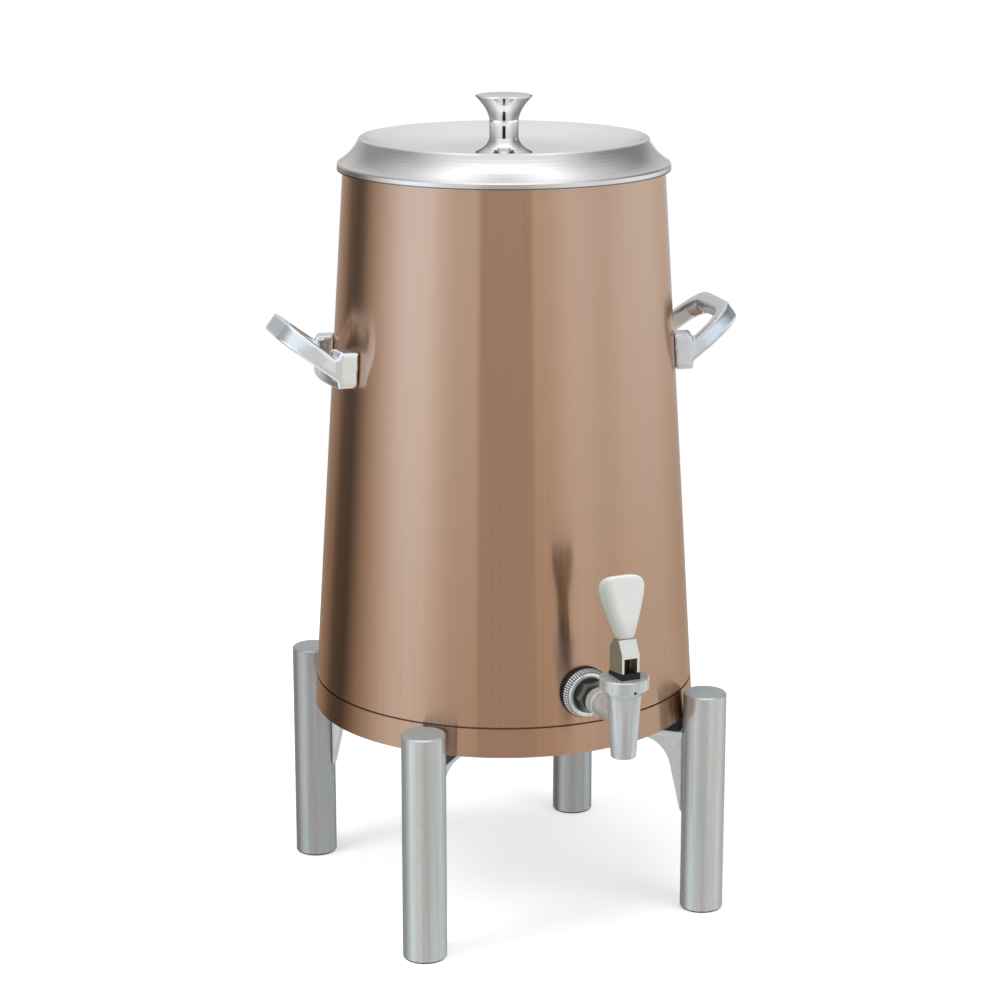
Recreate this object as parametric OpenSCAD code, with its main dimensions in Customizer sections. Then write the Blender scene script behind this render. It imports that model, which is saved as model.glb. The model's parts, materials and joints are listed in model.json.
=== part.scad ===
// Insulated beverage urn: a tapered double-walled vessel on four round posts,
// with a lift-off lid, two loop handles and a self-closing drip-free faucet.
// Millimetres, +Z up, the faucet faces -Y, the floor is z = 0.
// The origin is the middle of the footprint of the whole object.

/* [Body] */
// Outer diameter of the body at its bottom rim
base_d = 341; // [320:1:380]
// Outer diameter of the body at its top edge
mouth_d = 279.6; // [262:1:300]
// Height of the body from its bottom rim to its top edge
body_h = 478; // [420:1:560]
// Height of the base band below the seam
band_h = 25; // [20:0.5:36]
// Width of the seam groove above the base band
seam_gap = 1.6; // [0.8:0.2:2.4]
// Sheet thickness of shell, band and liner
wall_t = 1.2; // [0.8:0.1:1.6]
// Thickness of the insulation between shell and liner
insulation_t = 21.6; // [16:0.2:26]
// Thickness of the insulation under the liner floor
floor_insulation_t = 27.6; // [20:0.2:34]
// Thickness of the bottom plate
bottom_plate_t = 2; // [1.5:0.5:4]
// Thickness of the ring that closes the wall at the mouth
mouth_ring_t = 2; // [1.5:0.1:3]

/* [Stand] */
// Height of the body's bottom rim above the floor
ground_clear = 177.4; // [150:1:220]
// Outer diameter of each leg post
leg_d = 38; // [32:1:44]
// How far each post stands up past the body's bottom rim
leg_rise = 24.6; // [12:0.2:40]
// Wall and cap thickness of each post
leg_wall = 2; // [1.5:0.5:4]
// Gap between each post and the body's bottom rim
leg_gap = 0.6; // [0.4:0.1:2]
// Height of the rubber pad on each bracket
pad_h = 12; // [6:0.5:20]
// Length of the rubber pad
pad_l = 44; // [36:1:50]
// Thickness of the bracket's ledge
ledge_t = 5; // [4:0.5:8]
// Width of the bracket's ledge
ledge_w = 18; // [16:0.5:24]
// How far the bracket reaches in from the post
bracket_reach = 59; // [56:1:70]
// Thickness of the bracket's arched web
web_t = 8; // [7:0.5:12]
// How far the web runs down the post below the ledge
web_drop = 72; // [50:1:100]
// Depth of the web at the bracket's inner end
web_end = 5; // [3:0.5:8]
// Radius of the web's arch
arch_r = 30; // [20:1:36]
// Shank diameter of each leg bolt
leg_bolt_d = 5; // [4:0.5:6]
// Thread length of each leg bolt below its plate and pad
leg_bolt_grip = 8.5; // [7:0.5:9.5]
// Thickness of the glide under each post
glide_t = 1.5; // [1:0.5:4]
// How far each glide's plug stands up in its post
glide_plug = 15; // [8:1:30]

/* [Lid] */
// Outer diameter of the lid at its rim
lid_d = 289; // [286:0.5:294]
// Diameter of the lid's raised shoulder
shoulder_d = 248; // [230:1:252]
// Height of the shoulder above the lid's rim
shoulder_h = 27.3; // [20:0.1:34]
// Depth of the dish in the lid's top
dish_depth = 14.7; // [8:0.1:16]
// Diameter of the flat middle of the dish
dish_flat_d = 130; // [80:1:160]
// Sheet thickness of the lid and its pan
lid_t = 1; // [0.8:0.1:1.4]
// Height of the straight rolled rim of the lid
lid_rim_h = 4.6; // [4.5:0.1:7]
// How far the lid's rim hangs below the seat of its pan
lid_drop = 3.2; // [2.6:0.1:3.4]
// Depth of the plug that the pan makes in the mouth
plug_depth = 12; // [8:0.5:18]
// Radial play of the plug in the mouth
plug_gap = 1.3; // [0.8:0.1:3]
// Thickness of the lid's gasket
gasket_t = 2.2; // [1.5:0.1:3]
// Width of the lid's gasket
gasket_w = 8; // [5:0.5:12]

/* [Knob] */
// Diameter of the knob's top and of its foot
knob_d = 49.2; // [40:0.2:60]
// Diameter of the knob's neck
knob_neck_d = 25; // [20:0.5:30]
// Height of the knob
knob_h = 50.4; // [44:0.2:64]
// Height of the joint between the knob's foot and its top
knob_joint_h = 18; // [16:0.5:22]
// Diameter of the screw that holds the knob
knob_screw_d = 6; // [5:0.5:8]

/* [Handles] */
// Height of the middle of each handle's foot above the floor
handle_z = 495; // [440:1:560]
// How far the pair is turned from square to the faucet, in degrees
handle_turn = 8; // [0:1:14]
// Width of each handle across its foot
handle_w = 97; // [92:1:110]
// Height of the foot
handle_foot_h = 32; // [30:1:40]
// Thickness of the foot, out from the body
handle_foot_t = 16; // [14:0.5:20]
// Width of the low middle of the foot's top edge
handle_saddle_w = 52; // [30:1:54]
// How deep the low middle is
handle_saddle_h = 17; // [6:1:18]
// Slope of the loop, in degrees
handle_tilt = 37; // [30:1:42]
// Length of the loop from the body's wall along its slope
loop_reach = 67; // [60:1:80]
// Height of the loop's band
loop_t = 16; // [13:0.5:20]
// Thickness of the loop's side arms
arm_t = 9.5; // [8:0.5:12]
// Thickness of the loop's outer grip
grip_t = 13; // [10:0.5:15]
// Length of the straight part of the grip
grip_l = 44; // [36:1:50]
// Diameter of the bolts that hold each handle
handle_bolt_d = 6; // [5:0.5:7]
// Distance between a handle's two bolts
handle_bolt_gap = 66; // [56:1:74]
// Thickness of the backing plate inside the shell
backing_t = 2.5; // [2:0.5:4]

/* [Faucet] */
// Height of the faucet's inlet above the body's bottom rim
faucet_rise = 53.6; // [50:0.2:60]
// Distance from the body's wall to the spout's centre line
faucet_reach = 75; // [72:0.2:90]
// Outer diameter of the shank through the wall
shank_d = 17; // [15:0.5:19]
// Diameter of the shank's bore
shank_bore_d = 11; // [8:0.5:12]
// Outer diameter of the black gasket
faucet_gasket_d = 44; // [42:0.5:50]
// Thickness of the black gasket at its middle
faucet_gasket_t = 2.4; // [2:0.2:4]
// Outer diameter of the stepped collar
collar_d = 43; // [40:0.2:43.6]
// Depth of the stepped collar
collar_t = 8.5; // [7:0.5:10]
// Diameter of the recess in the collar's face
collar_recess_d = 30.4; // [29:0.2:32]
// Width across the flats of the lock nut in the recess
locknut_af = 24; // [22:0.5:25]
// Length of the lock nut
locknut_l = 16; // [12:0.5:18]
// Outer diameter of the coupling ring
coupling_d = 24; // [23:0.5:28]
// Length of the coupling ring
coupling_l = 11; // [8:0.5:13]
// Outer diameter of the side inlet of the faucet's body
inlet_d = 22; // [21:0.5:24]
// How far the spout's outlet hangs below the inlet's centre
spout_drop = 33.5; // [30:0.5:50]
// Outer diameter of the spout at its outlet
spout_d = 21.2; // [19:0.2:23]
// Outer diameter of the faucet's body at its top
barrel_d = 29.2; // [28:0.2:32]
// Height of the barrel above the inlet's centre
barrel_rise = 21.5; // [18:0.5:30]
// Diameter of the outlet bore
outlet_d = 14; // [12:0.5:15]
// Outer diameter of the bonnet's flange
bonnet_d = 41; // [38:0.5:44]
// Height of the bonnet
bonnet_h = 14.5; // [13:0.5:18]
// Diameter of the bonnet's set screw
set_screw_d = 2.6; // [2:0.2:3]

/* [Valve] */
// Diameter of the valve chamber
chamber_d = 19.8; // [19:0.2:20.4]
// Diameter of the hole in the valve seat
seat_d = 11; // [9:0.5:12]
// Thickness of the valve seat
seat_t = 3; // [2:0.5:4]
// Diameter of the seat cup
cup_d = 17.2; // [16:0.2:18]
// Height of the seat cup
cup_h = 8; // [6:0.5:10]
// Diameter of the stem's lower rod
rod_d = 5; // [4:0.5:6]
// Diameter of the stem's upper post
post_d = 8; // [7:0.2:8.4]
// Mean diameter of the spring's turns
spring_d = 15; // [14:0.2:15.6]
// Diameter of the spring's wire
spring_wire = 1.4; // [1:0.1:1.6]
// Number of turns of the spring
spring_turns = 7; // [5:1:9]

/* [Lever] */
// Width of the black guide block and its clearance slot, side to side
guide_w = 17; // [15.5:0.5:20]
// Depth of the black guide block, front to back
guide_l = 24; // [20:0.5:26]
// Height of the black guide block
guide_h = 5.5; // [4:0.5:8]
// Width of the lever's bracket
bracket_w = 15.8; // [14.6:0.2:18]
// Depth of the lever's bracket, front to back
bracket_l = 23; // [20:0.5:25]
// Height of the lever's bracket
bracket_h = 26.7; // [24:0.1:30]
// Thickness of the bracket's side plates
plate_t = 2; // [1.5:0.1:2.4]
// Height of the open window in the bracket
window_h = 12.2; // [12:0.1:14]
// Height of the lever's pin above the bracket's lower edge
pin_h = 6.2; // [5.6:0.1:7]
// Diameter of the lever's pin
pin_d = 3; // [2:0.2:3.4]
// Rest gap between the bracket and the guide block
heel_gap = 0.3; // [0.3:0.05:0.5]
// Greatest width of the paddle
paddle_w = 40.8; // [30:0.2:46]
// Width of the paddle at its foot
paddle_neck_w = 15.4; // [12:0.2:18]
// Length of the paddle above the bracket
paddle_h = 52; // [44:0.5:70]
// Thickness of the paddle
paddle_t = 7.5; // [6:0.5:10]
// Backward lean of the paddle, in degrees
paddle_lean = 10; // [0:1:14]

/* [Fits] */
// Gap between pieces that are fixed together on curved faces
fit = 0.1; // [0.05:0.05:0.2]
// Radial gap of a sliding or turning fit
run_fit = 0.05; // [0.02:0.01:0.1]
// Gap between curved sheets that are clamped together
seat_gap = 0.3; // [0.2:0.05:0.4]

/* [Hidden] */
SIDES = ["left", "right"];

rose = [0.71, 0.56, 0.45];
steel = [0.78, 0.79, 0.8];
chrome = [0.88, 0.89, 0.9];
foam = [0.93, 0.88, 0.7];
black = [0.08, 0.08, 0.08];
ivory = [0.87, 0.87, 0.83];
silicone = [0.75, 0.73, 0.7];

// Facets of the large round shapes and of the small ones
big_fn = 144;
small_fn = 48;
// Overlap that makes a cutter pass clear through a face
cut = 1;

// Body
base_r = base_d / 2;
mouth_r = mouth_d / 2;
rim_z = ground_clear;
band_top_z = rim_z + band_h;
shell_z = band_top_z + seam_gap;
top_z = rim_z + body_h;
plate_top_z = rim_z + bottom_plate_t;
liner_z = plate_top_z + floor_insulation_t;
// How far the band's joggled lip stands up inside the shell
lip_h = 8;
liner_inset = wall_t + insulation_t;
band_inset = 2 * wall_t + 2 * fit;
function body_r(z) = base_r + (mouth_r - base_r) * (z - rim_z) / body_h;

// Stand
leg_r = leg_d / 2;
leg_circle = base_r + leg_gap + leg_r;
leg_top_z = rim_z + leg_rise;
post_face = leg_circle - leg_r;
// Bevel round the top of each post
leg_edge = 1.2;
pad_z = rim_z - pad_h;
ledge_z = pad_z - ledge_t;
web_z = ledge_z - web_drop;
bracket_in = post_face - bracket_reach;
pad_out = body_r(rim_z) - wall_t - fit;
pad_in = pad_out - pad_l;
// Distance from each end of the pad to its bolt
bolt_inset = 10;
leg_bolts_at = [pad_in + bolt_inset, pad_out - 2 * bolt_inset];
leg_bolt_head_r = 0.85 * leg_bolt_d;
leg_bolt_l = bottom_plate_t + pad_h + leg_bolt_grip;
FRONT_LEFT = -135;
FRONT_RIGHT = -45;
BACK_RIGHT = 45;
BACK_LEFT = 135;
LEG_ANGLES = [FRONT_LEFT, FRONT_RIGHT, BACK_RIGHT, BACK_LEFT];

// Lid
ring_top_z = top_z + mouth_ring_t;
seat_z = ring_top_z + gasket_t;
lid_z = seat_z - lid_drop;
lid_r = lid_d / 2;
shoulder_r = shoulder_d / 2;
shoulder_z = lid_z + shoulder_h;
dish_z = shoulder_z - dish_depth;
dish_flat_r = dish_flat_d / 2;
mouth_in_r = mouth_r - liner_inset - wall_t;
plug_r = mouth_in_r - plug_gap;
plug_z = seat_z - plug_depth;
gasket_mid_r = (mouth_in_r + mouth_r) / 2;
pan_r = lid_r - lid_t - fit;
knob_r = knob_d / 2;
knob_neck_r = knob_neck_d / 2;
knob_joint_z = dish_z + knob_joint_h;
knob_top_z = dish_z + knob_h;
// Thickness of the knob's edge
knob_edge = 1.3;
knob_screw_r = knob_screw_d / 2;
knob_screw_head_r = 2 * knob_screw_r;
knob_screw_head_h = 0.6 * knob_screw_d;
// How far the screw stands up in the knob's top
knob_screw_grip = 12;
knob_screw_l = knob_joint_h + knob_screw_grip;

// Handles
foot_lo = handle_z - handle_foot_h / 2;
foot_hi = handle_z + handle_foot_h / 2;
wall_at_handle = body_r(handle_z);
handle_bolt_r = handle_bolt_d / 2;
// Depth of each handle bolt in the foot
handle_bolt_depth = 9;
handle_bolt_head_h = 4;
// The loop's middle plane meets the wall a little below the foot's middle
root_drop = 7;
// How far the backing plate keeps inside the outline of the foot
backing_margin = 3;
backing_h = handle_foot_h - 2 * backing_margin;
backing_w = handle_w - 2 * backing_margin;
// Distance from the axis to the spot faces that the bolt heads bear on
spot_x = sqrt(pow(wall_at_handle - wall_t - seat_gap - backing_t, 2)
    - pow(handle_bolt_gap / 2, 2)) - 0.3;

// Faucet
faucet_z = rim_z + faucet_rise;
wall_at_faucet = body_r(faucet_z);
spout_y = wall_at_faucet + faucet_reach;
shank_r = shank_d / 2;
barrel_r = barrel_d / 2;
sleeve_r = shank_r + 4;
collar_y = wall_at_faucet + faucet_gasket_t;
// Depth of the collar's base behind its recess
collar_base_t = 3;
locknut_y = collar_y + collar_base_t;
// Length of the side inlet between the barrel and the coupling ring
inlet_l = 23.6;
coupling_end_y = spout_y - barrel_r - inlet_l;
coupling_y = coupling_end_y - coupling_l;
// How far the shank stands inside the side inlet
shank_seat = 12;
shank_end_y = coupling_end_y + shank_seat;
// Thickness of the seal inside the liner
seal_t = 3.6;
liner_at_faucet = wall_at_faucet - liner_inset - wall_t;
seal_y = liner_at_faucet - seal_t;
shank_nut_t = 8;
shank_nut_af = 1.6 * shank_d;
shank_in_y = seal_y - shank_nut_t - 2.5;
spout_z = faucet_z - spout_drop;
barrel_z = faucet_z + barrel_rise;
spout_r = spout_d / 2;
outlet_r = outlet_d / 2;
seat_r = seat_d / 2;
chamber_r = chamber_d / 2;
chamber_z = faucet_z - 11;
seat_under_z = chamber_z - seat_t;
bonnet_z = barrel_z + 0.2;
bonnet_top_z = bonnet_z + bonnet_h;
// Thickness of the bonnet's top
bonnet_cap_t = 6;
neck_top_z = bonnet_top_z - bonnet_cap_t;
neck_r = chamber_r + 2.5;
bonnet_r = bonnet_d / 2;
// Height of the slope under the bonnet's flange
bonnet_slope = 5;
bonnet_foot_r = barrel_r + 0.6;
guide_boss_r = post_d / 2 + 2;
guide_top_z = bonnet_top_z + guide_h;
// How far the guide block's top falls from its front to its back
guide_fall = 3;
function guide_z(y) = guide_top_z - guide_fall * (y / guide_l + 0.5);
set_screw_z = neck_top_z - 3;
set_screw_r = set_screw_d / 2;

// Valve and lever
cup_top_z = chamber_z + cup_h;
post_r = post_d / 2;
rod_r = rod_d / 2;
// Length of the stem's thin rod above the cup
rod_l = 12;
post_z = cup_top_z + rod_l;
bracket_z = guide_top_z + heel_gap;
bracket_top_z = bracket_z + bracket_h;
window_top_z = bracket_z + window_h;
pin_z = bracket_z + pin_h;
pin_r = pin_d / 2;
post_top_z = pin_z + post_r;
// Bevel that clears the post's top under the turning bracket
post_bevel = 1.2;

// The middle of the footprint, so that the origin sits under the whole object
front_reach = spout_y + bonnet_r;
axis_y = (front_reach - base_r) / 2;

module place() translate([0, axis_y, 0]) children();

// Points of a curve from a to c that bends towards b
function bend(a, b, c, n) = [for (i = [0:n]) let (t = i / n)
    (1 - t) * (1 - t) * a + 2 * t * (1 - t) * b + t * t * c];
// Points of a circular arc round a centre
function arc(c, r, a0, a1, n) = [for (i = [0:n]) c + r * [cos(a0 + (a1 - a0) * i / n),
    sin(a0 + (a1 - a0) * i / n)]];
// A path moved to its left by t, point by point
function beside(p, t) = [for (i = [0:len(p) - 1])
    let (d = p[min(i + 1, len(p) - 1)] - p[max(i - 1, 0)])
    p[i] + t * [-d[1], d[0]] / norm(d)];
function reversed(p) = [for (i = [len(p) - 1:-1:0]) p[i]];
// Profile of a sheet of thickness t on the left of a path
function sheet(p, t) = concat(p, reversed(beside(p, t)));

// Profile of a tapered wall that lies inset from the body's outer face
function wall_profile(z0, z1, inset, t) = [[body_r(z0) - inset, z0], [body_r(z1) - inset, z1],
    [body_r(z1) - inset - t, z1], [body_r(z0) - inset - t, z0]];
// Solid cone that follows the body's outer face, grown outwards by grow
module body_cone(grow) rotate_extrude($fn = big_fn)
    polygon([[0, rim_z - cut], [body_r(rim_z - cut) + grow, rim_z - cut],
        [body_r(top_z + cut) + grow, top_z + cut], [0, top_z + cut]]);

module tube(h, ro, ri) difference() {
    cylinder(h = h, r = ro, $fn = small_fn);
    translate([0, 0, -cut]) cylinder(h = h + 2 * cut, r = ri, $fn = small_fn);
}
// Children drawn along +Z from 0 are laid along the faucet's inlet from distance y
module inlet_line(y) translate([0, -y, faucet_z]) rotate([90, 0, 0]) children();
module inlet_rod(y0, y1, r) inlet_line(y0) cylinder(h = y1 - y0, r = r, $fn = small_fn);
module shank_hole() inlet_rod(shank_in_y - cut, collar_y + cut, shank_r + fit);
// Children are drawn for both handles with +X pointing away from the body
module at_handle(side) rotate([0, 0, -handle_turn + (side == "left" ? 180 : 0)]) children();
module handle_bolt_rods(y0, y1, r) for (side = SIDES, q = [-1, 1]) at_handle(side)
    translate([y0, q * handle_bolt_gap / 2, handle_z]) rotate([0, 90, 0])
        cylinder(h = y1 - y0, r = r, $fn = small_fn);
module leg_bolt_rods(z0, z1, r) for (a = LEG_ANGLES, x = leg_bolts_at) rotate([0, 0, a])
    translate([x, 0, z0]) cylinder(h = z1 - z0, r = r, $fn = small_fn);

module outer_shell() place() color(rose) difference() {
    rotate_extrude($fn = big_fn) polygon(wall_profile(shell_z, top_z, 0, wall_t));
    shank_hole();
    handle_bolt_rods(wall_at_handle - liner_inset, wall_at_handle + cut, handle_bolt_r + fit);
}

// The band's upper lip steps in and stands behind the seam, inside the shell
module base_band() {
    lip_inset = wall_t + fit;
    lip_top_z = shell_z + lip_h;
    place() color(rose) rotate_extrude($fn = big_fn) polygon([
        [body_r(rim_z), rim_z], [body_r(band_top_z), band_top_z],
        [body_r(band_top_z) - lip_inset, band_top_z],
        [body_r(lip_top_z) - lip_inset, lip_top_z],
        [body_r(lip_top_z) - lip_inset - wall_t, lip_top_z],
        [body_r(band_top_z - wall_t) - lip_inset - wall_t, band_top_z - wall_t],
        [body_r(band_top_z - wall_t) - wall_t, band_top_z - wall_t],
        [body_r(rim_z) - wall_t, rim_z]]);
}

module bottom_plate() place() color(steel) difference() {
    translate([0, 0, rim_z])
        cylinder(h = bottom_plate_t, r = body_r(plate_top_z) - wall_t, $fn = big_fn);
    leg_bolt_rods(rim_z - cut, plate_top_z + cut, leg_bolt_d / 2 + fit);
}

module inner_liner() {
    floor_z = liner_z + wall_t;
    place() color(steel) difference() {
        rotate_extrude($fn = big_fn) polygon([[0, liner_z],
            [body_r(liner_z) - liner_inset, liner_z], [body_r(top_z) - liner_inset, top_z],
            [body_r(top_z) - liner_inset - wall_t, top_z],
            [body_r(floor_z) - liner_inset - wall_t, floor_z], [0, floor_z]]);
        shank_hole();
    }
}

module wall_insulation() place() color(foam) difference() {
    rotate_extrude($fn = big_fn)
        polygon(wall_profile(liner_z, top_z, band_inset, liner_inset - band_inset - fit));
    inlet_rod(seal_y, collar_y, sleeve_r + fit);
    for (side = SIDES) backing_blank(side, seat_gap);
    handle_bolt_rods(spot_x - handle_bolt_head_h - 2 * fit, wall_at_handle, handle_bolt_d + 2 * fit);
}

module floor_insulation() place() color(foam) difference() {
    translate([0, 0, plate_top_z])
        cylinder(h = liner_z - plate_top_z, r = body_r(liner_z) - band_inset, $fn = big_fn);
    leg_bolt_rods(plate_top_z - cut, plate_top_z + leg_bolt_d + 2 * fit, leg_bolt_head_r + fit);
}

module mouth_ring() {
    edge = mouth_ring_t / 2;
    place() color(steel) rotate_extrude($fn = big_fn) polygon([
        [mouth_in_r, top_z], [mouth_r, top_z], [mouth_r, ring_top_z - edge],
        [mouth_r - edge, ring_top_z], [mouth_in_r + edge, ring_top_z],
        [mouth_in_r, ring_top_z - edge]]);
}

// The lid's sheet runs from the rim over the skirt and the shoulder into the dish
module lid_shell() {
    rim_top = [lid_r, lid_z + lid_rim_h];
    skirt_foot = rim_top + [-0.9, 1.3];
    skirt_head = [shoulder_r + 1.6, shoulder_z - 1.2];
    skirt_sag = 3;
    skirt_bend = (skirt_foot + skirt_head) / 2 - [skirt_sag, skirt_sag];
    dish_edge = [shoulder_r - 1.8, shoulder_z];
    dish_bend = [(shoulder_r + dish_flat_r) / 2, dish_z];
    path = concat([[lid_r, lid_z], rim_top], bend(skirt_foot, skirt_bend, skirt_head, 8),
        [[shoulder_r + 0.5, shoulder_z - 0.3]],
        bend(dish_edge, dish_bend, [dish_flat_r, dish_z], 10),
        [[knob_screw_r + fit, dish_z]]);
    place() color(chrome) rotate_extrude($fn = big_fn) polygon(sheet(path, lid_t));
}

module lid_pan() place() color(steel) rotate_extrude($fn = big_fn) polygon([
    [0, plug_z], [plug_r, plug_z], [plug_r, seat_z], [pan_r, seat_z], [pan_r, seat_z + lid_t],
    [plug_r - lid_t, seat_z + lid_t], [plug_r - lid_t, plug_z + lid_t], [0, plug_z + lid_t]]);

module lid_insulation() {
    under_dish_z = dish_z - lid_t;
    pocket_h = knob_screw_head_h + 2 * fit;
    place() color(foam) difference() {
        translate([0, 0, plug_z + lid_t])
            cylinder(h = under_dish_z - plug_z - lid_t, r = plug_r - lid_t - fit, $fn = big_fn);
        translate([0, 0, under_dish_z - pocket_h])
            cylinder(h = pocket_h + cut, r = knob_screw_head_r + fit, $fn = small_fn);
    }
}

module lid_gasket() place() color(silicone) translate([0, 0, ring_top_z]) difference() {
    cylinder(h = gasket_t, r = gasket_mid_r + gasket_w / 2, $fn = big_fn);
    translate([0, 0, -cut])
        cylinder(h = gasket_t + 2 * cut, r = gasket_mid_r - gasket_w / 2, $fn = big_fn);
}

module knob_top() {
    flare_z = knob_top_z - knob_edge;
    // How far the flare reaches down the neck
    flare_h = 20;
    bore_top_z = dish_z - lid_t + knob_screw_l + 1;
    place() color(chrome) rotate_extrude($fn = small_fn * 2) polygon(concat(
        [[knob_screw_r + run_fit, knob_joint_z], [knob_neck_r, knob_joint_z]],
        bend([knob_neck_r, flare_z - flare_h], [knob_neck_r + 1.5, flare_z - flare_h / 2],
            [knob_r, flare_z], 10),
        [[knob_r, knob_top_z - 0.9], [knob_r - 0.8, knob_top_z - 0.3], [knob_r / 2, knob_top_z],
            [0, knob_top_z], [0, bore_top_z], [knob_screw_r + run_fit, bore_top_z]]));
}

module knob_foot() {
    flare_h = 12.5;
    place() color(chrome) rotate_extrude($fn = small_fn * 2) polygon(concat(
        [[knob_screw_r + run_fit, dish_z], [knob_r, dish_z]],
        bend([knob_r, dish_z + knob_edge], [knob_neck_r + 1.5, dish_z + knob_edge + 4],
            [knob_neck_r, dish_z + knob_edge + flare_h], 8),
        [[knob_neck_r, knob_joint_z], [knob_screw_r + run_fit, knob_joint_z]]));
}

module knob_screw() place() color(steel) {
    translate([0, 0, dish_z - lid_t]) cylinder(h = knob_screw_l, r = knob_screw_r, $fn = small_fn);
    translate([0, 0, dish_z - lid_t - knob_screw_head_h])
        cylinder(h = knob_screw_head_h, r = knob_screw_head_r, $fn = small_fn);
}

// Outline of the loop, seen square to its slope: wide at the body, narrower at the grip
module loop_outline(inset, reach) {
    half = handle_w / 2 - inset;
    grip_half = grip_l / 2 - inset / 2;
    shoulder_x = 0.38 * loop_reach;
    side = bend([shoulder_x, half - 1], [reach, half - 4], [reach, grip_half], 10);
    mirrored = [for (p = reversed(side)) [p[0], -p[1]]];
    polygon(concat([[-wall_at_handle / 4, half]], side, mirrored, [[-wall_at_handle / 4, -half]]));
}

// Outline of the foot, seen from outside and drawn through to the axis: low in its middle
module foot_outline() {
    end = handle_w / 2;
    dip = handle_saddle_w / 2;
    dip_z = foot_hi - handle_saddle_h;
    rotate([90, 0, 90]) linear_extrude(height = base_r + handle_foot_t) polygon([
        [-end, foot_lo], [end, foot_lo], [end, foot_hi], [dip, foot_hi],
        [dip, dip_z], [-dip, dip_z], [-dip, foot_hi], [-end, foot_hi]]);
}

module handle(side) {
    root_z = handle_z - root_drop;
    place() color(chrome) at_handle(side) difference() {
        union() {
            intersection() {
                rotate_extrude($fn = big_fn) polygon([
                    [body_r(foot_lo) + fit, foot_lo], [body_r(foot_lo) + handle_foot_t, foot_lo],
                    [body_r(foot_hi) + handle_foot_t, foot_hi], [body_r(foot_hi) + fit, foot_hi]]);
                foot_outline();
            }
            difference() {
                translate([wall_at_handle, 0, root_z]) rotate([0, -handle_tilt, 0])
                    linear_extrude(height = loop_t, center = true) difference() {
                        loop_outline(0, loop_reach);
                        loop_outline(arm_t, loop_reach - grip_t);
                    }
                translate([0, -handle_w, foot_lo - 4 * handle_foot_h])
                    cube([base_r + handle_foot_t, 2 * handle_w, 4 * handle_foot_h]);
            }
        }
        body_cone(fit);
        for (q = [-1, 1]) translate([0, q * handle_bolt_gap / 2, handle_z]) rotate([0, 90, 0])
            cylinder(h = wall_at_handle + handle_bolt_depth + fit, r = handle_bolt_r + run_fit,
                $fn = small_fn);
    }
}

module backing_blank(side, grow) at_handle(side) intersection() {
    rotate_extrude($fn = big_fn) polygon(wall_profile(handle_z - backing_h / 2 - grow,
        handle_z + backing_h / 2 + grow, wall_t + seat_gap - grow, backing_t + 2 * grow));
    translate([0, -backing_w / 2 - grow, foot_lo])
        cube([base_r, backing_w + 2 * grow, handle_foot_h]);
}

module backing_plate(side) place() color(steel) difference() {
    backing_blank(side, 0);
    handle_bolt_rods(0, base_r, handle_bolt_r + run_fit);
    handle_bolt_rods(0, spot_x, handle_bolt_d + fit);
}

module handle_bolts() place() color(steel) {
    handle_bolt_rods(spot_x, wall_at_handle + handle_bolt_depth, handle_bolt_r);
    handle_bolt_rods(spot_x - handle_bolt_head_h, spot_x, handle_bolt_d);
}

module leg(angle) place() color(chrome) rotate([0, 0, angle])
    translate([leg_circle, 0, 0]) rotate_extrude($fn = big_fn) polygon([
        [leg_r - leg_wall, glide_t], [leg_r, glide_t], [leg_r, leg_top_z - leg_edge],
        [leg_r - leg_edge, leg_top_z], [0, leg_top_z], [0, leg_top_z - leg_wall],
        [leg_r - leg_wall, leg_top_z - leg_wall]]);

// A ledge that carries the pad, on a web whose lower edge is an arch
module bracket(angle) {
    end_z = ledge_z - web_end;
    web_foot = 1.5;
    // Where the straight down the post and the straight under the ledge would meet
    corner_inset = 17;
    corner = [post_face - corner_inset, end_z];
    down = ([post_face - web_foot, web_z] - corner) / norm([post_face - web_foot, web_z] - corner);
    turn = acos(-down[0]);
    run = arch_r * tan((180 - turn) / 2);
    arch_c = corner + [-run, -arch_r];
    place() color(chrome) rotate([0, 0, angle]) difference() {
        union() {
            translate([bracket_in, -ledge_w / 2, ledge_z])
                cube([leg_circle - bracket_in, ledge_w, ledge_t]);
            rotate([90, 0, 0]) linear_extrude(height = web_t, center = true) polygon(concat(
                [[bracket_in, ledge_z + 1], [bracket_in, end_z]],
                arc(arch_c, arch_r, 90, turn - 90, 10),
                [[post_face - web_foot, web_z], [leg_circle, web_z], [leg_circle, ledge_z + 1]]));
        }
        translate([leg_circle, 0, 0]) cylinder(h = leg_top_z, r = leg_r + fit, $fn = big_fn);
        for (x = leg_bolts_at) translate([x, 0, rim_z - pad_h - leg_bolt_grip - fit])
            cylinder(h = leg_bolt_l, r = leg_bolt_d / 2 + run_fit, $fn = small_fn);
    }
}

module leg_pads() place() color(black) difference() {
    for (a = LEG_ANGLES) rotate([0, 0, a])
        translate([pad_in, -ledge_w / 2, pad_z]) cube([pad_l, ledge_w, pad_h]);
    leg_bolt_rods(pad_z - cut, rim_z + cut, leg_bolt_d / 2 + fit);
}

module leg_bolts() place() color(steel) {
    leg_bolt_rods(plate_top_z - leg_bolt_l, plate_top_z, leg_bolt_d / 2);
    leg_bolt_rods(plate_top_z, plate_top_z + leg_bolt_d, leg_bolt_head_r);
}

module foot_glides() place() color(black) for (a = LEG_ANGLES) rotate([0, 0, a])
    translate([leg_circle, 0, 0]) {
        cylinder(h = glide_t, r = leg_r - leg_wall / 2, $fn = big_fn);
        cylinder(h = glide_t + glide_plug, r = leg_r - leg_wall - run_fit, $fn = big_fn);
    }

// The gasket's back follows the body's wall
module faucet_gasket() place() color(black) difference() {
    inlet_rod(wall_at_faucet - 4, collar_y, faucet_gasket_d / 2);
    body_cone(fit);
    shank_hole();
}

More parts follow.
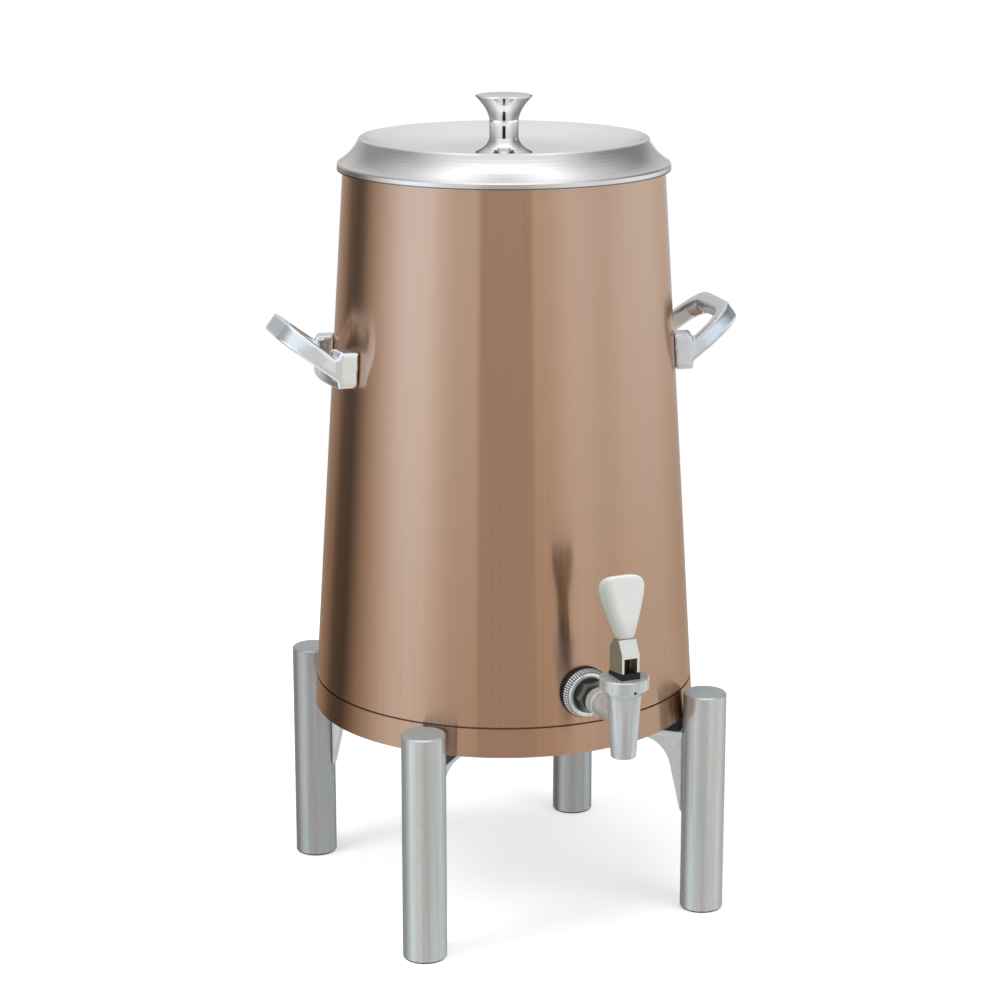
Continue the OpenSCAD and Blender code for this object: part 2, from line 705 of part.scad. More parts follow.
module faucet_collar() {
    step = 0.85;
    steps = 3;
    step_l = (collar_t - 1) / steps;
    r = collar_d / 2;
    stair = [for (i = [0:steps - 1], e = [0, 1]) [r - i * step, (i + e) * step_l]];
    place() color(chrome) inlet_line(collar_y) rotate_extrude($fn = 2 * small_fn) polygon(concat(
        [[shank_r + fit, 0]], stair,
        [[r - steps * step, collar_t], [collar_recess_d / 2, collar_t],
            [collar_recess_d / 2, collar_base_t], [shank_r + fit, collar_base_t]]));
}

module faucet_locknut() place() color(steel) inlet_line(locknut_y) difference() {
    cylinder(h = locknut_l, r = locknut_af / 2 / cos(30), $fn = 6);
    translate([0, 0, -cut]) cylinder(h = locknut_l + 2 * cut, r = shank_r + run_fit, $fn = small_fn);
}

module faucet_shank() place() color(steel) difference() {
    inlet_rod(shank_in_y, shank_end_y, shank_r);
    inlet_rod(shank_in_y - cut, shank_end_y + cut, shank_bore_d / 2);
}

// The sleeve keeps the walls apart round the shank
module shank_sleeve() place() color(steel) difference() {
    intersection() {
        inlet_rod(liner_at_faucet - 4, collar_y, sleeve_r);
        body_cone(-wall_t - fit);
    }
    body_cone(-liner_inset + fit);
    inlet_rod(seal_y - 4, collar_y + cut, shank_r + fit);
}

module shank_seal() place() color(silicone) difference() {
    intersection() {
        inlet_rod(seal_y, liner_at_faucet + 2, shank_r + 6);
        body_cone(-liner_inset - wall_t - fit);
    }
    inlet_rod(seal_y - cut, liner_at_faucet + 4, shank_r + fit);
}

module shank_nut() place() color(steel) inlet_line(seal_y - shank_nut_t) difference() {
    cylinder(h = shank_nut_t, r = shank_nut_af / 2 / cos(30), $fn = 6);
    translate([0, 0, -cut])
        cylinder(h = shank_nut_t + 2 * cut, r = shank_r + run_fit, $fn = small_fn);
}

module coupling_ring() {
    edge = 1.2;
    r = coupling_d / 2;
    place() color(chrome) inlet_line(coupling_y) rotate_extrude($fn = 2 * small_fn) polygon([
        [shank_r + run_fit, 0], [r - edge, 0], [r, edge], [r, coupling_l - edge],
        [r - edge, coupling_l], [shank_r + run_fit, coupling_l]]);
}

module on_spout() place() translate([0, -spout_y, 0]) children();

module faucet_body() color(chrome) difference() {
    union() {
        on_spout() rotate_extrude($fn = 2 * small_fn) polygon([
            [0, spout_z], [spout_r - 0.6, spout_z], [spout_r, spout_z + 0.6],
            [barrel_r, barrel_z], [neck_r, barrel_z], [neck_r, neck_top_z], [0, neck_top_z]]);
        place() inlet_rod(coupling_end_y, spout_y, inlet_d / 2);
    }
    on_spout() rotate_extrude($fn = 2 * small_fn) polygon([
        [0, spout_z - cut], [outlet_r, spout_z - cut], [outlet_r, seat_under_z],
        [seat_r, seat_under_z], [seat_r, chamber_z], [chamber_r, chamber_z],
        [chamber_r, neck_top_z + cut], [0, neck_top_z + cut]]);
    place() inlet_rod(coupling_end_y - cut, spout_y, shank_bore_d / 2);
    place() inlet_rod(coupling_end_y - cut, shank_end_y, shank_r + run_fit);
}

module faucet_bonnet() color(chrome) difference() {
    on_spout() rotate_extrude($fn = 2 * small_fn) polygon([
        [neck_r + fit, bonnet_z], [bonnet_foot_r, bonnet_z], [bonnet_r, bonnet_z + bonnet_slope],
        [bonnet_r, bonnet_top_z - 0.8], [bonnet_r - 0.8, bonnet_top_z],
        [guide_boss_r + fit, bonnet_top_z], [guide_boss_r + fit, neck_top_z],
        [neck_r + fit, neck_top_z]]);
    set_screw_rod(spout_y, front_reach + cut, set_screw_r + run_fit);
}

module set_screw_rod(y0, y1, r) place() translate([0, -y0, set_screw_z]) rotate([90, 0, 0])
    cylinder(h = y1 - y0, r = r, $fn = small_fn);
module bonnet_set_screw() color(black)
    set_screw_rod(spout_y + neck_r + fit, front_reach - 0.4, set_screw_r);

module stem_guide() color(black) on_spout() difference() {
    union() {
        translate([-guide_w / 2, 0, 0]) rotate([90, 0, 90]) linear_extrude(height = guide_w)
            polygon([[-guide_l / 2, bonnet_top_z], [guide_l / 2, bonnet_top_z],
                [guide_l / 2, guide_z(guide_l / 2)], [-guide_l / 2, guide_top_z]]);
        translate([0, 0, neck_top_z])
            cylinder(h = bonnet_cap_t + cut, r = guide_boss_r, $fn = small_fn);
    }
    translate([0, 0, neck_top_z - cut])
        cylinder(h = bonnet_cap_t + guide_h + 2 * cut, r = post_r + run_fit, $fn = small_fn);
}

// The stem's rod is set in the cup, and its post is hung on the lever's pin
module valve_stem() color(black) on_spout() difference() {
    rotate_extrude($fn = small_fn) polygon([
        [0, chamber_z + cup_h / 3], [rod_r, chamber_z + cup_h / 3], [rod_r, post_z],
        [post_r, post_z], [post_r, post_top_z - post_bevel], [post_r - post_bevel, post_top_z],
        [0, post_top_z]]);
    translate([-post_d, 0, pin_z]) rotate([0, 90, 0])
        cylinder(h = 2 * post_d, r = pin_r + run_fit, $fn = small_fn);
}

module seat_cup() color(silicone) on_spout() rotate_extrude($fn = small_fn) polygon([
    [0, chamber_z], [cup_d / 2 - 1, chamber_z], [cup_d / 2, chamber_z + 1],
    [cup_d / 2, cup_top_z], [rod_r + run_fit, cup_top_z],
    [rod_r + run_fit, chamber_z + cup_h / 3], [0, chamber_z + cup_h / 3]]);

// A coil between the cup and the bonnet, with closed ends that lie flat
module valve_spring() {
    sides = 6;
    steps = 16;
    n = spring_turns * steps;
    wire_r = spring_wire / 2;
    z0 = cup_top_z + wire_r;
    z1 = neck_top_z - wire_r;
    // Share of the coil's length that is wound flat at each end
    flat = 0.75 / spring_turns;
    function climb(t) = min(max((t - flat) / (1 - 2 * flat), 0), 1);
    ring = function (i) [for (k = [0:sides - 1]) let (
        t = i / n, a = 360 * spring_turns * t, b = 360 * k / sides,
        r = spring_d / 2 + wire_r * cos(b))
        [r * cos(a), r * sin(a), z0 + (z1 - z0) * climb(t) + wire_r * sin(b)]];
    points = [for (i = [0:n], p = ring(i)) p];
    skin = [for (i = [0:n - 1], k = [0:sides - 1]) let (
        a = i * sides + k, b = i * sides + (k + 1) % sides) each
        [[a, a + sides, b], [b, a + sides, b + sides]]];
    ends = [[for (k = [0:sides - 1]) k], [for (k = [sides - 1:-1:0]) n * sides + k]];
    color(steel) on_spout() polyhedron(points, concat(skin, ends));
}

// Two side plates under a wedge that rises to the paddle's foot
module lever_bracket() color(steel) on_spout() difference() {
    l = bracket_l / 2;
    foot = paddle_t / 2;
    bevel = 5;
    translate([-bracket_w / 2, 0, 0]) rotate([90, 0, 90]) linear_extrude(height = bracket_w)
        polygon([[-l, guide_z(-l) + heel_gap], [l, guide_z(l) + heel_gap],
            [l, bracket_top_z - bevel - 4],
            [foot + 1, bracket_top_z], [-foot - 1, bracket_top_z],
            [-l, window_top_z + 3]]);
    translate([-bracket_w / 2 + plate_t, -bracket_l, bracket_z - guide_fall - cut])
        cube([bracket_w - 2 * plate_t, 2 * bracket_l, window_h + guide_fall + cut]);
    translate([-bracket_w, 0, pin_z]) rotate([0, 90, 0])
        cylinder(h = 2 * bracket_w, r = pin_r + run_fit, $fn = small_fn);
}

module lever_pin() color(steel) on_spout() translate([-bracket_w / 2, 0, pin_z])
    rotate([0, 90, 0]) cylinder(h = bracket_w, r = pin_r, $fn = small_fn);

// A paddle that widens from its neck to a rounded top
module lever_paddle() {
    neck = paddle_neck_w / 2;
    half = paddle_w / 2;
    // Shares of the greatest half-width and of the height, from the neck to the top
    shape = [[0.43, 0.05], [0.58, 0.22], [0.7, 0.36], [0.82, 0.51], [0.93, 0.66], [0.985, 0.76],
        [1, 0.82], [0.975, 0.88], [0.91, 0.93], [0.8, 0.965], [0.62, 0.99], [0.3, 1]];
    side = concat([[neck, -paddle_t], [neck, 0]],
        [for (p = shape) [max(neck, p[0] * half), p[1] * paddle_h]]);
    mirrored = [for (p = reversed(side)) [-p[0], p[1]]];
    color(ivory) on_spout() difference() {
        translate([0, 0, bracket_top_z]) rotate([90 - paddle_lean, 0, 0])
            linear_extrude(height = paddle_t, center = true) polygon(concat(side, mirrored));
        translate([-half, -bracket_l, bracket_top_z - 2 * paddle_t])
            cube([paddle_w, 2 * bracket_l, 2 * paddle_t]);
    }
}

outer_shell();
base_band();
bottom_plate();
inner_liner();
wall_insulation();
floor_insulation();
mouth_ring();
lid_shell();
lid_pan();
lid_insulation();
lid_gasket();
knob_top();
knob_foot();
knob_screw();
handle("left");  // left_handle
handle("right");  // right_handle
backing_plate("left");  // left_handle_backing_plate
backing_plate("right");  // right_handle_backing_plate
handle_bolts();
leg(FRONT_LEFT);  // front_left_leg
leg(FRONT_RIGHT);  // front_right_leg
leg(BACK_LEFT);  // back_left_leg
leg(BACK_RIGHT);  // back_right_leg
bracket(FRONT_LEFT);  // front_left_bracket
bracket(FRONT_RIGHT);  // front_right_bracket
bracket(BACK_LEFT);  // back_left_bracket
bracket(BACK_RIGHT);  // back_right_bracket
leg_pads();
leg_bolts();
foot_glides();
faucet_gasket();
faucet_collar();
faucet_locknut();
faucet_shank();
shank_sleeve();
shank_seal();
shank_nut();
coupling_ring();
faucet_body();
faucet_bonnet();
bonnet_set_screw();
stem_guide();
valve_stem();
seat_cup();
valve_spring();
lever_bracket();
lever_pin();
lever_paddle();
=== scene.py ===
"""Looks of the insulated beverage urn: rounded castings, knurling, finishes, light and camera."""
import json
import math

import bmesh
import bpy
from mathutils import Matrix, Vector


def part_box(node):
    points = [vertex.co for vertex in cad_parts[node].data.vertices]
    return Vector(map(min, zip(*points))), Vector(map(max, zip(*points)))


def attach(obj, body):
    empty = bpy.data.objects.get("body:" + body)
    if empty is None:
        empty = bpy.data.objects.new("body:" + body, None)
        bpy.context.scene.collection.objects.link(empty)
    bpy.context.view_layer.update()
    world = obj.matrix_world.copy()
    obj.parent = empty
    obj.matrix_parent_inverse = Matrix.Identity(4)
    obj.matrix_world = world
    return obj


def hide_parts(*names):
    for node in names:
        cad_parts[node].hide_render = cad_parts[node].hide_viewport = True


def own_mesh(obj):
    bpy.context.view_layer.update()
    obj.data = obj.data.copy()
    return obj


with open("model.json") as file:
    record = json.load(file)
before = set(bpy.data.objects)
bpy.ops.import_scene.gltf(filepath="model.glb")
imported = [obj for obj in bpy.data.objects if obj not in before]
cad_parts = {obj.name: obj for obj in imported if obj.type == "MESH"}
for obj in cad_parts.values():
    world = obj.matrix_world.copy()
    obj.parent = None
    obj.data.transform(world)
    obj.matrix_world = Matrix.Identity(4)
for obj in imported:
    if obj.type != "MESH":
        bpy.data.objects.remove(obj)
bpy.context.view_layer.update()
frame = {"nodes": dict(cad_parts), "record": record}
nodes = frame["nodes"]
slot_of = {row["node"]: row["material_slot"] for row in frame["record"]["subparts"]}

# Sizes in metres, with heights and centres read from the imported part
MM = 0.001
shell_lo, shell_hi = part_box("outer_shell")
AXIS_Y = (shell_lo[1] + shell_hi[1]) / 2
URN = (0, AXIS_Y, 0)
LID_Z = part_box("lid_shell")[0][2]
CORNERS = ("front_left", "front_right", "back_left", "back_right")
# Half the width over which one band of colour turns to the next
SOFT_EDGE = 0.15 * MM
# Depth of the finest unevenness of a turned or drawn surface
FINE_DENT = 0.02 * MM


# Node helpers
def new_material(name):
    material = bpy.data.materials.new(name)
    material.use_nodes = True
    tree = material.node_tree
    return material, tree, tree.nodes["Principled BSDF"]


def math_node(tree, operation, a, b=None):
    node = tree.nodes.new("ShaderNodeMath")
    node.operation = operation
    for socket, value in zip(node.inputs, (a, b)):
        if value is None:
            continue
        if isinstance(value, (int, float)):
            socket.default_value = value
        else:
            tree.links.new(value, socket)
    return node.outputs[0]


def mixture(tree, a, b, share):
    """Two values added up: a share of the first and the rest of the second."""
    return math_node(tree, "ADD", math_node(tree, "MULTIPLY", a, share),
                     math_node(tree, "MULTIPLY", b, 1 - share))


def position(tree, centre=(0, 0, 0), scale=(1, 1, 1)):
    """Object coordinates in metres, measured from a centre and stretched."""
    coords = tree.nodes.new("ShaderNodeTexCoord")
    mapping = tree.nodes.new("ShaderNodeMapping")
    mapping.inputs["Location"].default_value = [-c * s for c, s in zip(centre, scale)]
    mapping.inputs["Scale"].default_value = scale
    tree.links.new(coords.outputs["Object"], mapping.inputs["Vector"])
    return mapping.outputs["Vector"]


def axes_of(tree, place):
    """The X, Y and Z of a position, by name."""
    split = tree.nodes.new("ShaderNodeSeparateXYZ")
    tree.links.new(place, split.inputs[0])
    return split.outputs


def around(tree, centre, turns, climb):
    """A vector that runs round a vertical axis on X and up it on Z."""
    place = axes_of(tree, position(tree, centre))
    angle = math_node(tree, "ARCTAN2", place["Y"], place["X"])
    joined = tree.nodes.new("ShaderNodeCombineXYZ")
    tree.links.new(math_node(tree, "MULTIPLY", angle, turns), joined.inputs["X"])
    tree.links.new(math_node(tree, "MULTIPLY", place["Z"], climb), joined.inputs["Z"])
    return joined.outputs[0]


def noise_texture(tree, vector, scale, detail=4, roughness=0.55):
    node = tree.nodes.new("ShaderNodeTexNoise")
    node.inputs["Scale"].default_value = scale
    node.inputs["Detail"].default_value = detail
    node.inputs["Roughness"].default_value = roughness
    tree.links.new(vector, node.inputs["Vector"])
    return node.outputs["Fac"]


def spread(tree, value, low, high, start=0.3, end=0.7):
    """A value's run from start to end, turned to a run from low to high."""
    node = tree.nodes.new("ShaderNodeMapRange")
    node.inputs["From Min"].default_value = start
    node.inputs["From Max"].default_value = end
    node.inputs["To Min"].default_value = low
    node.inputs["To Max"].default_value = high
    tree.links.new(value, node.inputs["Value"])
    return node.outputs["Result"]


def two_colours(tree, value, dark, light, start=0.3, end=0.7):
    ramp = tree.nodes.new("ShaderNodeValToRGB")
    ramp.color_ramp.elements[0].position = start
    ramp.color_ramp.elements[0].color = (*dark, 1)
    ramp.color_ramp.elements[1].position = end
    ramp.color_ramp.elements[1].color = (*light, 1)
    tree.links.new(value, ramp.inputs["Fac"])
    return ramp.outputs["Color"]


def shades(colour, vary):
    """A colour a little darker and a little lighter."""
    return [tuple(min(1, c * share) for c in colour) for share in (1 - vary, 1 + vary)]


def bump(tree, shader, value, distance, strength):
    node = tree.nodes.new("ShaderNodeBump")
    node.inputs["Strength"].default_value = strength
    node.inputs["Distance"].default_value = distance
    tree.links.new(value, node.inputs["Height"])
    tree.links.new(node.outputs["Normal"], shader.inputs["Normal"])


def uneven_roughness(tree, shader, value, roughness, low=0.8, high=1.25):
    """Roughness that runs with a texture, between two shares of the finish's own."""
    tree.links.new(spread(tree, value, roughness * low, roughness * high),
                   shader.inputs["Roughness"])


def banded(tree, colour, bottom, bands):
    """The colour, tinted over each band: its lower and upper edge over the bottom and a tint."""
    height = axes_of(tree, position(tree, (0, 0, bottom)))["Z"]
    for low, high, tint in bands:
        above = spread(tree, height, 0, 1, low - SOFT_EDGE, low + SOFT_EDGE)
        below = spread(tree, height, 1, 0, high - SOFT_EDGE, high + SOFT_EDGE)
        mix = tree.nodes.new("ShaderNodeMix")
        mix.data_type = "RGBA"
        mix.blend_type = "MULTIPLY"
        sockets = {socket.identifier: socket for socket in mix.inputs}
        tree.links.new(math_node(tree, "MULTIPLY", above, below), sockets["Factor_Float"])
        tree.links.new(colour, sockets["A_Color"])
        sockets["B_Color"].default_value = (*tint, 1)
        colour = next(s for s in mix.outputs if s.identifier == "Result_Color")
    return colour


# Kinds of finish
def spun_metal(name, colour, roughness, vary=0.04, anisotropy=0.75, unevenness=0.2,
               edge=(1, 1, 1), bottom=0, bands=()):
    """Metal finished round the urn's axis: reflections draw out into upright streaks."""
    material, tree, shader = new_material(name)
    streaks = noise_texture(tree, around(tree, URN, 60, 2.0), 1.0, detail=6, roughness=0.6)
    broad = noise_texture(tree, around(tree, URN, 3.0, 1.2), 1.0, detail=2)
    tones = two_colours(tree, mixture(tree, streaks, broad, 0.7), *shades(colour, vary))
    tree.links.new(banded(tree, tones, bottom, bands), shader.inputs["Base Color"])
    uneven_roughness(tree, shader, streaks, roughness, 1 - unevenness, 1 + unevenness)
    shader.inputs["Metallic"].default_value = 1.0
    shader.inputs["Specular Tint"].default_value = (*edge, 1)
    shader.inputs["Anisotropic"].default_value = anisotropy
    shader.inputs["Anisotropic Rotation"].default_value = 0.25
    tangent = tree.nodes.new("ShaderNodeTangent")
    tangent.direction_type = "RADIAL"
    tangent.axis = "Z"
    tree.links.new(tangent.outputs[0], shader.inputs["Tangent"])
    return material


def cast_metal(name, colour, roughness, vary=0.05, grain=90, dent=0.04 * MM, metallic=1.0,
               edge=(1, 1, 1)):
    """Plated or bare casting: a slightly uneven, slightly cloudy surface."""
    material, tree, shader = new_material(name)
    place = position(tree)
    clouds = noise_texture(tree, place, grain, detail=5)
    tree.links.new(two_colours(tree, clouds, *shades(colour, vary)), shader.inputs["Base Color"])
    uneven_roughness(tree, shader, noise_texture(tree, place, grain * 4, detail=3), roughness)
    shader.inputs["Metallic"].default_value = metallic
    shader.inputs["Specular Tint"].default_value = (*edge, 1)
    bump(tree, shader, noise_texture(tree, place, grain * 1.6, detail=2), dent, 0.4)
    return material


def drawn_metal(name, colour, roughness, vary, stretch, fine_share, grain=140, metallic=0.5,
                edge=(1, 1, 1)):
    """Drawn tube or turned stock: fine streaks that run upright."""
    material, tree, shader = new_material(name)
    place = position(tree, scale=(1, 1, stretch))
    fine = noise_texture(tree, place, grain * 3, detail=3)
    broad = noise_texture(tree, place, grain, detail=1)
    mixed = mixture(tree, fine, broad, fine_share)
    tree.links.new(two_colours(tree, mixed, *shades(colour, vary)), shader.inputs["Base Color"])
    uneven_roughness(tree, shader, mixed, roughness)
    shader.inputs["Metallic"].default_value = metallic
    shader.inputs["Specular Tint"].default_value = (*edge, 1)
    bump(tree, shader, mixed, FINE_DENT, 0.3)
    return material


# Share of a knurled ring's colour that is left in its grooves, as painted shade
GROOVE_SHADE_SHARE = 0.18


def knurled_metal(name, colour, roughness, axis, teeth, inner_r):
    """Metal with painted shade in the grooves between the teeth of a knurled ring round a level
    axis.
    """
    material, tree, shader = new_material(name)
    place = axes_of(tree, position(tree, axis))
    angle = math_node(tree, "ARCTAN2", place["Z"], place["X"])
    wave = math_node(tree, "COSINE", math_node(tree, "MULTIPLY", angle, teeth))
    squares = [math_node(tree, "POWER", place[side], 2) for side in "XZ"]
    reach = math_node(tree, "POWER", math_node(tree, "ADD", *squares), 0.5)
    on_teeth = spread(tree, reach, 0, 1, inner_r, inner_r + SOFT_EDGE)
    # Painted shade in the grooves, on the teeth only
    groove_shade = math_node(tree, "MULTIPLY", on_teeth, spread(tree, wave, 1, 0, -0.6, 0.4))
    clouds = noise_texture(tree, position(tree), 300)
    shade = math_node(tree, "SUBTRACT", math_node(tree, "ADD", clouds, 0.5), groove_shade)
    dark = tuple(c * GROOVE_SHADE_SHARE for c in colour)
    tree.links.new(two_colours(tree, shade, dark, colour, 0.2, 1.0), shader.inputs["Base Color"])
    uneven_roughness(tree, shader, clouds, roughness)
    shader.inputs["Metallic"].default_value = 0.8
    bump(tree, shader, clouds, FINE_DENT, 0.3)
    return material


def plain_stuff(name, colour, roughness, grain=400, dent=0.05 * MM, specular=0.5):
    """Rubber, silicone, foam or moulded plastic with a fine grain."""
    material, tree, shader = new_material(name)
    place = position(tree)
    grains = noise_texture(tree, place, grain)
    tree.links.new(two_colours(tree, grains, *shades(colour, 0.08)), shader.inputs["Base Color"])
    broad = noise_texture(tree, place, grain / 5, detail=3)
    uneven_roughness(tree, shader, broad, roughness, 0.85, 1.15)
    shader.inputs["Specular IOR Level"].default_value = specular
    bump(tree, shader, grains, dent, 0.5)
    return material


# Share of the paddle's width that it loses on one side, down to its foot
PADDLE_TAPER = 0.31
# Painted shade: how far in from the paddle's left edge, and up from its foot, it is painted darker
EDGE_SHADE_W = 11 * MM
FOOT_SHADE_H = 16 * MM
FOOT_SHADE_SHARE = 0.55
SHADED_IVORY = (0.58, 0.61, 0.55)


def ivory_with_painted_shade(name, colour, roughness):
    """Satin plastic with painted shade, darker and yellower towards the paddle's left edge and its
    foot.
    """
    material, tree, shader = new_material(name)
    low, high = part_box("lever_paddle")
    place = axes_of(tree, position(tree, (low[0], 0, low[2])))
    taper = (high[0] - low[0]) * PADDLE_TAPER
    slant = taper / (high[2] - low[2])
    edge = math_node(tree, "SUBTRACT", taper, math_node(tree, "MULTIPLY", place["Z"], slant))
    inside = math_node(tree, "SUBTRACT", place["X"], edge)
    # Painted shade: a share that runs from dark at the left edge and the foot to full colour
    # inside
    painted_light = math_node(tree, "MULTIPLY", spread(tree, inside, 0, 1, 0, EDGE_SHADE_W),
                    spread(tree, place["Z"], FOOT_SHADE_SHARE, 1, 0, FOOT_SHADE_H))
    clouds = noise_texture(tree, position(tree), 40, detail=2)
    shade = math_node(tree, "ADD", painted_light, math_node(tree, "MULTIPLY", clouds, 0.1))
    dark = tuple(c * s for c, s in zip(colour, SHADED_IVORY))
    tree.links.new(two_colours(tree, shade, dark, colour, 0.05, 1.0), shader.inputs["Base Color"])
    uneven_roughness(tree, shader, clouds, roughness, 0.9, 1.1)
    bump(tree, shader, noise_texture(tree, position(tree), 250), FINE_DENT / 2, 0.3)
    return material


# Colours, and the tints that some metals take where they are seen edge on
ROSE_GOLD = (0.485, 0.312, 0.222)
ROSE_EDGE = (0.8, 0.66, 0.56)
SHEET_STEEL = (0.6, 0.6, 0.6)
LID_CHROME = (0.75, 0.75, 0.765)
# Painted shade: the lid's rim, a darker and warmer copy of the lid chrome
LID_RIM_SHADED = (0.66, 0.6, 0.56)
RIM_EDGE = (0.6, 0.52, 0.47)
KNOB_CHROME = (0.86, 0.86, 0.87)
KNOB_EDGE = (0.2, 0.2, 0.21)
HANDLE_METAL = (0.585, 0.605, 0.64)
# Painted light: the left handle, a brighter and cooler copy of the handle metal
LEFT_HANDLE_LIT = (0.84, 0.91, 1.0)
POST_METAL = (0.59, 0.62, 0.635)
# Painted shade: the back posts, a darker copy of the post metal
BACK_POST_SHADED = (0.43, 0.455, 0.47)
POST_EDGE = (0.25, 0.26, 0.26)
POST_CAP = (0.37, 0.395, 0.405)
BRACKET_METAL = (0.66, 0.69, 0.685)
FAUCET_CHROME = (0.565, 0.6, 0.62)
KNURLED_CHROME = (0.74, 0.77, 0.78)
NUT_STEEL = (0.28, 0.3, 0.28)
LEVER_STEEL = (0.8, 0.82, 0.785)
# Painted shade: the lever bracket's left side, a dark olive stand-in for the shade on it
LEVER_SIDE_SHADE = (0.22, 0.235, 0.17)
BLACK = (0.01, 0.01, 0.011)
IVORY = (0.78, 0.785, 0.76)
FOAM = (0.82, 0.76, 0.55)
SILICONE = (0.6, 0.58, 0.53)
# Painted shade on the lip seen through the seam at the foot of the body shell, and painted shade
# along the lip at the foot of the lid's rim
SEAM_SHADE = (0.3, 0.32, 0.34)
SEAM_H = 1.6 * MM
LIP_SHADE = (0.3, 0.28, 0.27)
LIP_H = 1.3 * MM
RIM_H = 4.6 * MM

# Painted shade: the band of the body's colour that lies in the seam's gap
SEAM_SHADE_BAND = (shell_lo[2] - SEAM_H, shell_lo[2], SEAM_SHADE)
POST_FINISH = {"vary": 0.12, "stretch": 0.02, "fine_share": 0.15, "metallic": 0.6,
               "edge": POST_EDGE}
HANDLE_FINISH = {"grain": 50, "metallic": 0.9}
KNOB_FINISH = {"vary": 0.03, "grain": 60, "dent": FINE_DENT / 2}

# Finish of each material slot
finishes = {
    "rose_gold": spun_metal("rose_gold_satin", ROSE_GOLD, 0.19, anisotropy=0.93,
                            edge=ROSE_EDGE, bands=[SEAM_SHADE_BAND]),
    "sheet_steel": spun_metal("sheet_steel_brushed", SHEET_STEEL, 0.3, vary=0.06),
    "lid_chrome": spun_metal("lid_chrome_spun", LID_CHROME, 0.2, vary=0.012, anisotropy=0.5,
                             unevenness=0.05),
    "knob_chrome": cast_metal("knob_chrome_polished", KNOB_CHROME, 0.07, edge=KNOB_EDGE,
                              **KNOB_FINISH),
    "handle_metal": cast_metal("handle_chrome_satin", HANDLE_METAL, 0.12, **HANDLE_FINISH),
    "post_metal": drawn_metal("post_metal_drawn", POST_METAL, 0.25, **POST_FINISH),
    "bracket_metal": cast_metal("bracket_metal_satin", BRACKET_METAL, 0.38, grain=120,
                                metallic=0.5),
    "faucet_chrome": drawn_metal("faucet_chrome_satin", FAUCET_CHROME, 0.2, vary=0.16,
                                 stretch=0.03, fine_share=0.25, grain=240),
    "nut_steel": cast_metal("nut_steel_dull", NUT_STEEL, 0.35, vary=0.1, grain=200),
    "lever_steel": cast_metal("lever_steel_dull", LEVER_STEEL, 0.12, vary=0.03, grain=150,
                              metallic=0.8),
    "fixings": cast_metal("fixing_steel", SHEET_STEEL, 0.3, grain=200),
    "black_rubber": plain_stuff("rubber_black", BLACK, 0.6, specular=0.3),
    "black_plastic": plain_stuff("plastic_black", BLACK, 0.5, grain=600, specular=0.3),
    "silicone": plain_stuff("silicone_grey", SILICONE, 0.5),
    "foam": plain_stuff("foam_cream", FOAM, 0.9, grain=900, dent=0.2 * MM),
    "ivory_plastic": ivory_with_painted_shade("plastic_ivory_painted_shade", IVORY, 0.25),
}


# Finishes put on the nodes
def dress(obj, finish):
    obj.data.materials.clear()
    obj.data.materials.append(finish)


def dress_faces(obj, finish, wanted):
    """Give some faces a finish of their own."""
    obj.data.materials.append(finish)
    for polygon in obj.data.polygons:
        if wanted(polygon):
            polygon.material_index = 1


def looks_up(polygon):
    return polygon.normal.z > 0.9


def looks_left(polygon):
    return polygon.normal.x < -0.9


def on_lid_rim(polygon):
    return abs(polygon.normal.z) < 0.1 and polygon.center.z < LID_Z + RIM_H


for name, obj in nodes.items():
    dress(obj, finishes[slot_of[name]])

# Posts: duller flat caps, and painted shade on the posts at the back, a darker copy of the post
# metal
post_cap = cast_metal("post_cap_dull", POST_CAP, 0.4, metallic=0.3)
back_post_shaded = drawn_metal("back_post_painted_shade", BACK_POST_SHADED, 0.25, **POST_FINISH)
for corner in CORNERS:
    if corner.startswith("back"):
        dress(nodes[f"{corner}_leg"], back_post_shaded)
    dress_faces(nodes[f"{corner}_leg"], post_cap, looks_up)

# Lid: the knob's top face, and painted shade on the rim: a darker, warmer copy of the lid chrome,
# darker still along its lip
knob_face = cast_metal("knob_face_polished", KNOB_CHROME, 0.1, **KNOB_FINISH)
dress_faces(nodes["knob_top"], knob_face, looks_up)
lid_rim_shaded = spun_metal("lid_rim_painted_shade", LID_RIM_SHADED, 0.25, vary=0.012, anisotropy=0.3, unevenness=0.05,
                     edge=RIM_EDGE, bottom=LID_Z, bands=[(-LIP_H, LIP_H, LIP_SHADE)])
dress_faces(nodes["lid_shell"], lid_rim_shaded, on_lid_rim)

# Lever: painted shade on the left side of its bracket, a dark olive copy of the lever steel
lever_side_shade = cast_metal("lever_side_painted_shade", LEVER_SIDE_SHADE, 0.3, vary=0.02, grain=60, metallic=0.4)
dress_faces(nodes["lever_bracket"], lever_side_shade, looks_left)


# Pieces that stand for CAD nodes
def add_object(name, data):
    obj = bpy.data.objects.new(name, data)
    bpy.context.scene.collection.objects.link(obj)
    return obj


def add_mesh(name, bm):
    """An object with the faces that bm holds."""
    mesh = bpy.data.meshes.new(name)
    bm.to_mesh(mesh)
    bm.free()
    return add_object(name, mesh)


def body_of_node(name):
    for body, members in frame["record"]["behaviour"]["bodies"].items():
        if name in members:
            return body
    return None


def finish_piece(obj, node):
    dress(obj, finishes[slot_of[node]])
    for polygon in obj.data.polygons:
        polygon.use_smooth = True
    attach(obj, body_of_node(node))
    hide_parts(node)


def apply_modifiers(obj):
    graph = bpy.context.evaluated_depsgraph_get()
    made = bpy.data.meshes.new_from_object(obj.evaluated_get(graph))
    obj.modifiers.clear()
    old = obj.data
    obj.data = made
    bpy.data.meshes.remove(old)


# Voxel size and number of smoothing passes of a casting, with well rounded or with crisp edges
ROUNDED = (0.9 * MM, 36)
CRISP = (1.0 * MM, 4)
SMOOTH_SHARE = 0.5
WELD_REACH = 0.001 * MM


